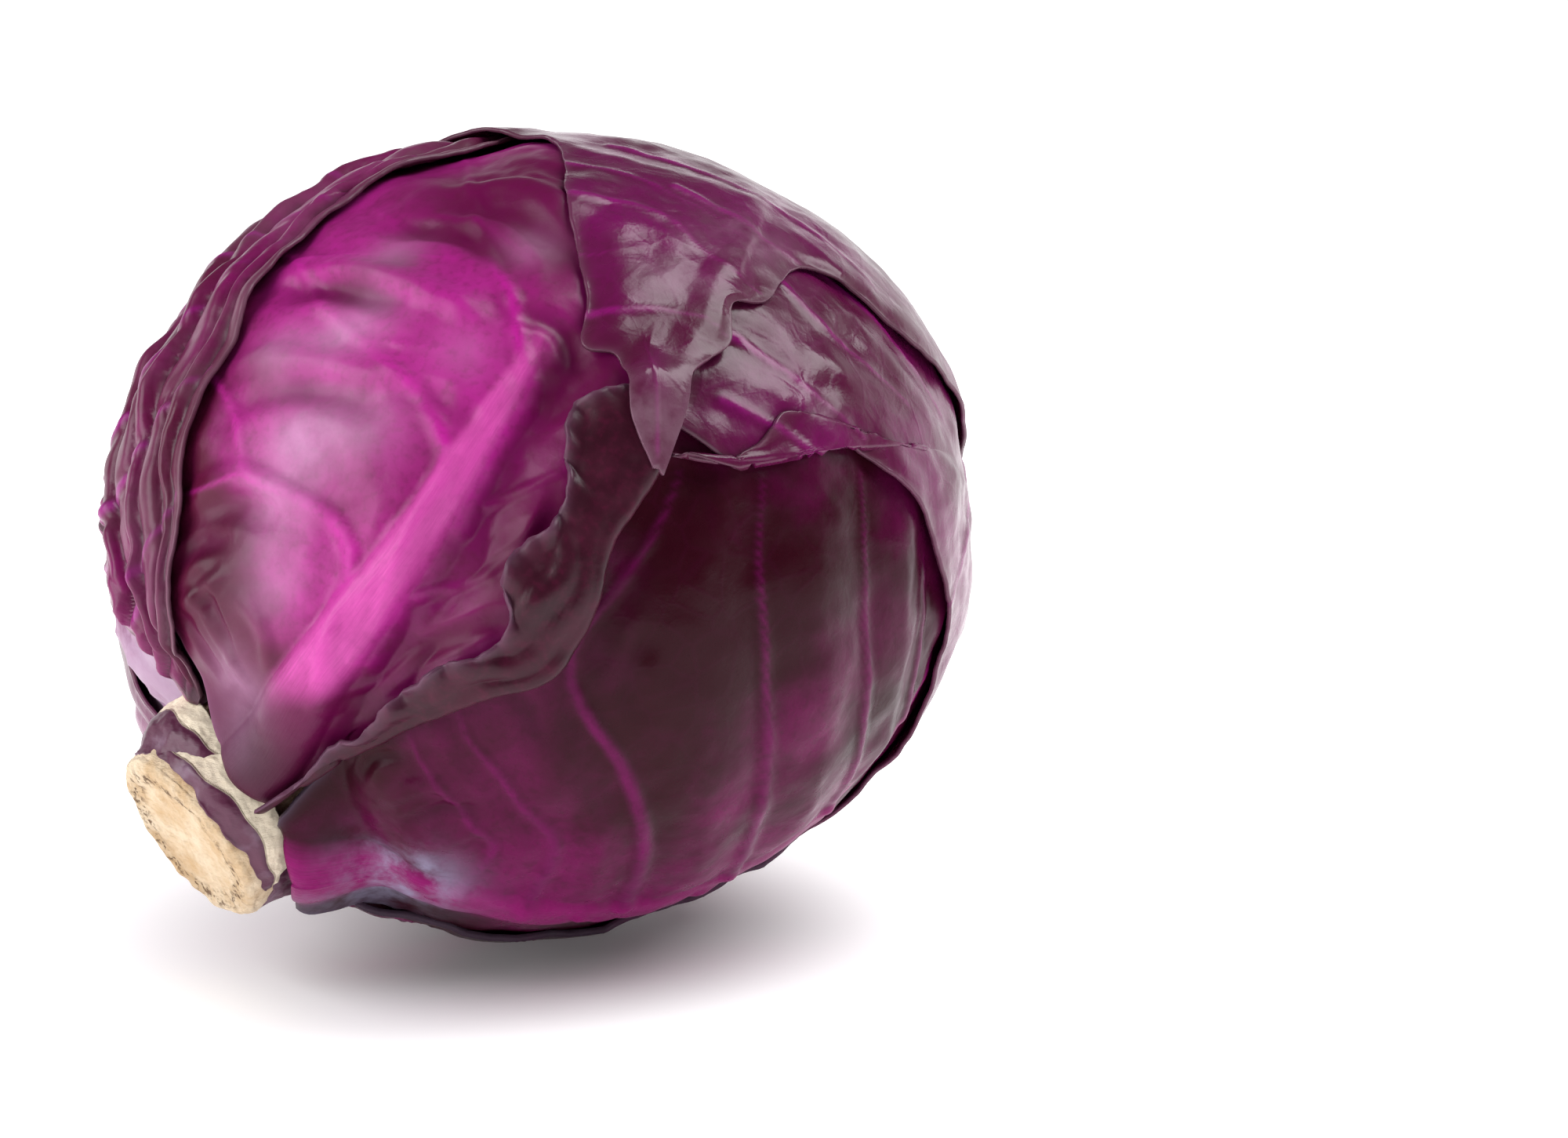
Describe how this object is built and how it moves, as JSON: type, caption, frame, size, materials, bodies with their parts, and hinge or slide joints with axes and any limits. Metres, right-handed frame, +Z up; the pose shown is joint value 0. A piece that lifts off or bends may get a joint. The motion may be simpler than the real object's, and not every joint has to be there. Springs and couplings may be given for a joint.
{
  "type": "cabbage head",
  "caption": "Whole head of red cabbage lying on its side: tight round heart, wrapper leaves with raised ribs, stubs of cut leaves and a trimmed stalk.",
  "frame": {"origin": "on the resting surface, under the middle of the head's box", "axes": "+X level from the stalk end towards the crown, +Y towards the back, +Z up; the stalk points 30 degrees below -X"},
  "size_m": [0.1862, 0.1742, 0.1672],
  "materials": {
    "heart_leaf": "smooth waxy purple leaf",
    "front_leaf": "satin waxy magenta leaf with a greyish bloom",
    "outer_leaf": "satin waxy grey-purple leaf",
    "dark_leaf": "satin dark purple-brown leaf",
    "stub_skin": "dull purple leaf-base skin",
    "cut_stalk": "matt fibrous dried cut"
  },
  "bodies": {
    "root": {"heart": "heart_leaf", "stalk_stump": "cut_stalk", "leaf_lower_front": "dark_leaf", "leaf_lower_back": "dark_leaf", "leaf_upper_back": "outer_leaf", "leaf_crown_side": "outer_leaf", "leaf_underside": "dark_leaf", "leaf_front": "front_leaf", "leaf_top": "outer_leaf", "leaf_over_crown": "outer_leaf", "leaf_stub_top": "stub_skin", "leaf_stub_front": "stub_skin", "leaf_stub_low": "stub_skin", "leaf_stub_back": "stub_skin"}
  },
  "joints": []
}
